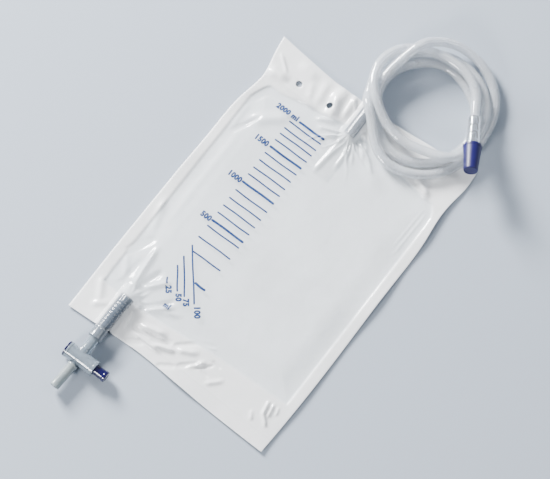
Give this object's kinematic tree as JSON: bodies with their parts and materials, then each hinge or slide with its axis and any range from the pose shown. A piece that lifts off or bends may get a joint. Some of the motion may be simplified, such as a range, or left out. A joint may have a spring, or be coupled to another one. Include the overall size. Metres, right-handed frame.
{
  "type": "urine drainage bag",
  "caption": "Flat urine drainage bag of welded film with hanging holes, graduated front, coiled inlet tube with capped connector, and outlet tube with push-pull cross valve and spout.",
  "frame": {"origin": "centre of the bag's back face, on the surface that the bag lies on", "axes": "+X to the bag's right seen from the front, +Y towards the top seal and the inlet, +Z out of the printed front film"},
  "size_m": [0.2125, 0.4592, 0.0403],
  "materials": {
    "white_film": "satin white PVC film",
    "clear_film": "glossy clear PVC film with blue printed scale",
    "flap_film": "thin soft PVC film",
    "milky_pvc": "translucent soft PVC tube",
    "clear_plastic": "clear moulded plastic",
    "navy_plastic": "glossy navy blue moulded plastic",
    "outlet_pvc": "grey translucent soft PVC tube",
    "valve_plastic": "clear milky moulded plastic",
    "plunger_navy": "glossy navy blue moulded plastic",
    "seal_rubber": "soft sealing ring",
    "spout_pvc": "milky translucent soft PVC tube"
  },
  "bodies": {
    "bag": {"back_sheet": "white_film", "front_sheet": "clear_film", "reflux_flap_back": "flap_film", "reflux_flap_front": "flap_film", "inlet_tube": "milky_pvc", "inlet_coil": "milky_pvc", "inlet_tube_end": "milky_pvc", "connector": "clear_plastic", "outlet_tube": "outlet_pvc", "outlet_sleeve": "outlet_pvc", "valve_body": "valve_plastic", "drain_spout": "spout_pvc"},
    "plunger": {"valve_plunger": "plunger_navy", "plunger_seal_inner": "seal_rubber", "plunger_seal_outer": "seal_rubber"},
    "cap": {"connector_cap": "navy_plastic"}
  },
  "joints": [
    {"name": "plunger_slide", "type": "slide", "parent": "bag", "child": "plunger", "axis": [-1, 0, 0], "range_m": [0, 0.008]},
    {"name": "cap_pull", "type": "slide", "parent": "bag", "child": "cap", "axis": [0.4963, -0.8131, 0.304], "range_m": [0, 0.034]}
  ]
}
